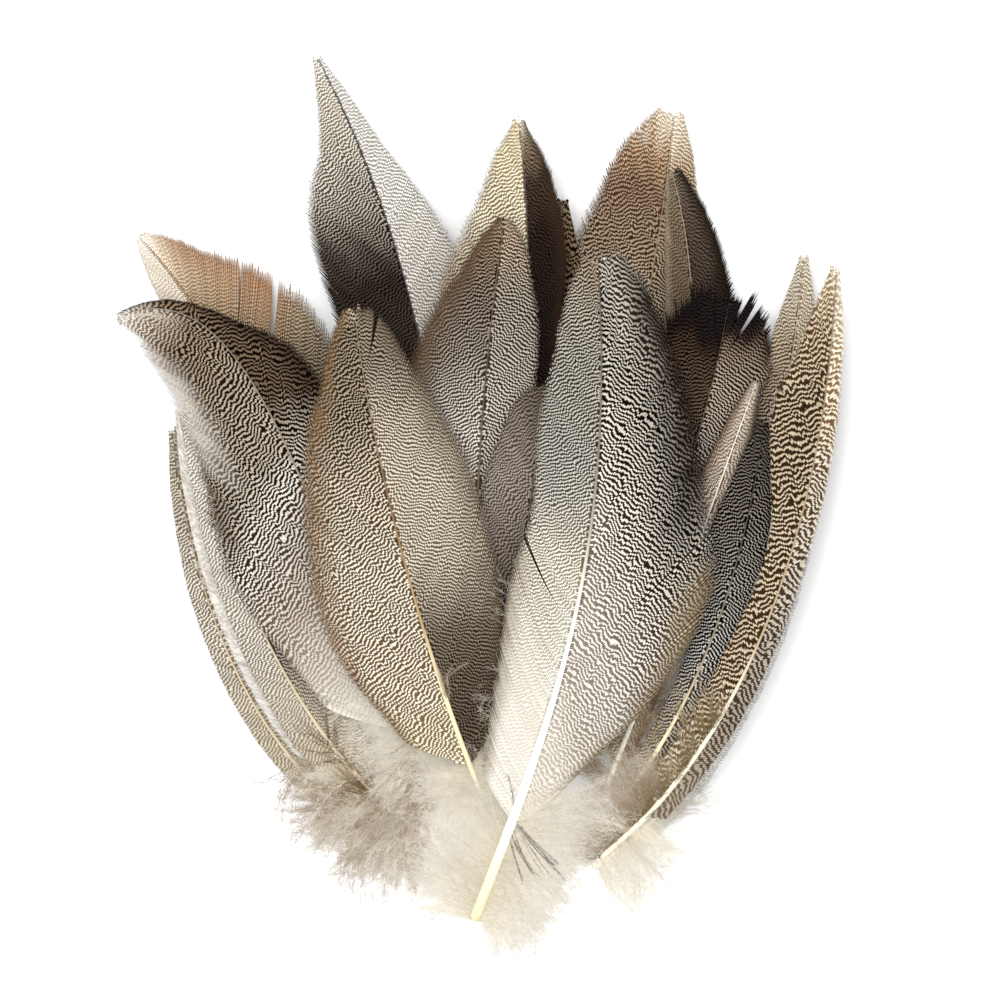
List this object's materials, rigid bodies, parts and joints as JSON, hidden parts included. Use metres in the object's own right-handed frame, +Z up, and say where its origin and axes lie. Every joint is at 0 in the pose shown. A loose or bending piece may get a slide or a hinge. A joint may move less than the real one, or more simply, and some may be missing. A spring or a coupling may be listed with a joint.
{
  "type": "feather bunch",
  "caption": "Fan-shaped bunch of loose natural barred duck flank feathers, lying flat with the quill ends together and the tips spread.",
  "frame": {"origin": "on the resting surface, under the middle of the bunch's box", "axes": "+Y from the quill ends towards the feather tips, +Z up off the surface, +X to the right seen from above"},
  "size_m": [0.1066, 0.1274, 0.0138],
  "materials": {
    "shaft": "satin",
    "vane_tan": "matte",
    "vane_speckled": "matte",
    "vane_cream": "matte",
    "vane_pale": "matte",
    "vane_grey": "matte",
    "vane_dark": "matte",
    "vane_zebra": "matte",
    "vane_bronze": "matte",
    "vane_gold": "matte"
  },
  "bodies": {
    "tan_tip": {"tan_tip_shaft": "shaft", "tan_tip_left_vane": "vane_tan", "tan_tip_right_vane": "vane_tan"},
    "edge_speckled": {"edge_speckled_shaft": "shaft", "edge_speckled_left_vane": "vane_speckled", "edge_speckled_right_vane": "vane_speckled"},
    "cream_top": {"cream_top_shaft": "shaft", "cream_top_left_vane": "vane_cream", "cream_top_right_vane": "vane_cream"},
    "outer_right": {"outer_right_shaft": "shaft", "outer_right_left_vane": "vane_pale", "outer_right_right_vane": "vane_pale"},
    "edge_white": {"edge_white_shaft": "shaft", "edge_white_left_vane": "vane_pale", "edge_white_right_vane": "vane_pale"},
    "tall_grey": {"tall_grey_shaft": "shaft", "tall_grey_left_vane": "vane_grey", "tall_grey_right_vane": "vane_grey"},
    "round_dark": {"round_dark_shaft": "shaft", "round_dark_left_vane": "vane_dark", "round_dark_right_vane": "vane_dark"},
    "edge_fine": {"edge_fine_shaft": "shaft", "edge_fine_left_vane": "vane_speckled", "edge_fine_right_vane": "vane_speckled"},
    "pale_right": {"pale_right_shaft": "shaft", "pale_right_left_vane": "vane_pale", "pale_right_right_vane": "vane_pale"},
    "tiger": {"tiger_shaft": "shaft", "tiger_left_vane": "vane_tan", "tiger_right_vane": "vane_tan"},
    "zebra": {"zebra_shaft": "shaft", "zebra_left_vane": "vane_zebra", "zebra_right_vane": "vane_zebra"},
    "black_tip": {"black_tip_shaft": "shaft", "black_tip_left_vane": "vane_dark", "black_tip_right_vane": "vane_dark"},
    "cream_back": {"cream_back_shaft": "shaft", "cream_back_left_vane": "vane_cream", "cream_back_right_vane": "vane_cream"},
    "pale_strip": {"pale_strip_shaft": "shaft", "pale_strip_left_vane": "vane_pale", "pale_strip_right_vane": "vane_pale"},
    "grey_centre": {"grey_centre_shaft": "shaft", "grey_centre_left_vane": "vane_grey", "grey_centre_right_vane": "vane_grey"},
    "fine_zebra": {"fine_zebra_shaft": "shaft", "fine_zebra_left_vane": "vane_zebra", "fine_zebra_right_vane": "vane_zebra"},
    "taupe": {"taupe_shaft": "shaft", "taupe_left_vane": "vane_dark", "taupe_right_vane": "vane_dark"},
    "bronze": {"bronze_shaft": "shaft", "bronze_left_vane": "vane_bronze", "bronze_right_vane": "vane_bronze"},
    "gold_front": {"gold_front_shaft": "shaft", "gold_front_left_vane": "vane_gold", "gold_front_right_vane": "vane_gold"},
    "front": {"front_shaft": "shaft", "front_left_vane": "vane_zebra", "front_right_vane": "vane_zebra"}
  },
  "joints": [
    {"name": "lift_edge_speckled", "type": "slide", "parent": "tan_tip", "child": "edge_speckled", "axis": [0, 0, 1], "range_m": [0, 0.012]},
    {"name": "lift_cream_top", "type": "slide", "parent": "edge_speckled", "child": "cream_top", "axis": [0, 0, 1], "range_m": [0, 0.012]},
    {"name": "lift_outer_right", "type": "slide", "parent": "cream_top", "child": "outer_right", "axis": [0, 0, 1], "range_m": [0, 0.012]},
    {"name": "lift_edge_white", "type": "slide", "parent": "outer_right", "child": "edge_white", "axis": [0, 0, 1], "range_m": [0, 0.012]},
    {"name": "lift_tall_grey", "type": "slide", "parent": "edge_white", "child": "tall_grey", "axis": [0, 0, 1], "range_m": [0, 0.012]},
    {"name": "lift_round_dark", "type": "slide", "parent": "tall_grey", "child": "round_dark", "axis": [0, 0, 1], "range_m": [0, 0.012]},
    {"name": "lift_edge_fine", "type": "slide", "parent": "round_dark", "child": "edge_fine", "axis": [0, 0, 1], "range_m": [0, 0.012]},
    {"name": "lift_pale_right", "type": "slide", "parent": "edge_fine", "child": "pale_right", "axis": [0, 0, 1], "range_m": [0, 0.012]},
    {"name": "lift_tiger", "type": "slide", "parent": "pale_right", "child": "tiger", "axis": [0, 0, 1], "range_m": [0, 0.012]},
    {"name": "lift_zebra", "type": "slide", "parent": "tiger", "child": "zebra", "axis": [0, 0, 1], "range_m": [0, 0.012]},
    {"name": "lift_black_tip", "type": "slide", "parent": "zebra", "child": "black_tip", "axis": [0, 0, 1], "range_m": [0, 0.012]},
    {"name": "lift_cream_back", "type": "slide", "parent": "black_tip", "child": "cream_back", "axis": [0, 0, 1], "range_m": [0, 0.012]},
    {"name": "lift_pale_strip", "type": "slide", "parent": "cream_back", "child": "pale_strip", "axis": [0, 0, 1], "range_m": [0, 0.012]},
    {"name": "lift_grey_centre", "type": "slide", "parent": "pale_strip", "child": "grey_centre", "axis": [0, 0, 1], "range_m": [0, 0.012]},
    {"name": "lift_fine_zebra", "type": "slide", "parent": "grey_centre", "child": "fine_zebra", "axis": [0, 0, 1], "range_m": [0, 0.012]},
    {"name": "lift_taupe", "type": "slide", "parent": "fine_zebra", "child": "taupe", "axis": [0, 0, 1], "range_m": [0, 0.012]},
    {"name": "lift_bronze", "type": "slide", "parent": "taupe", "child": "bronze", "axis": [0, 0, 1], "range_m": [0, 0.012]},
    {"name": "lift_gold_front", "type": "slide", "parent": "bronze", "child": "gold_front", "axis": [0, 0, 1], "range_m": [0, 0.012]},
    {"name": "lift_front", "type": "slide", "parent": "gold_front", "child": "front", "axis": [0, 0, 1], "range_m": [0, 0.012]}
  ]
}
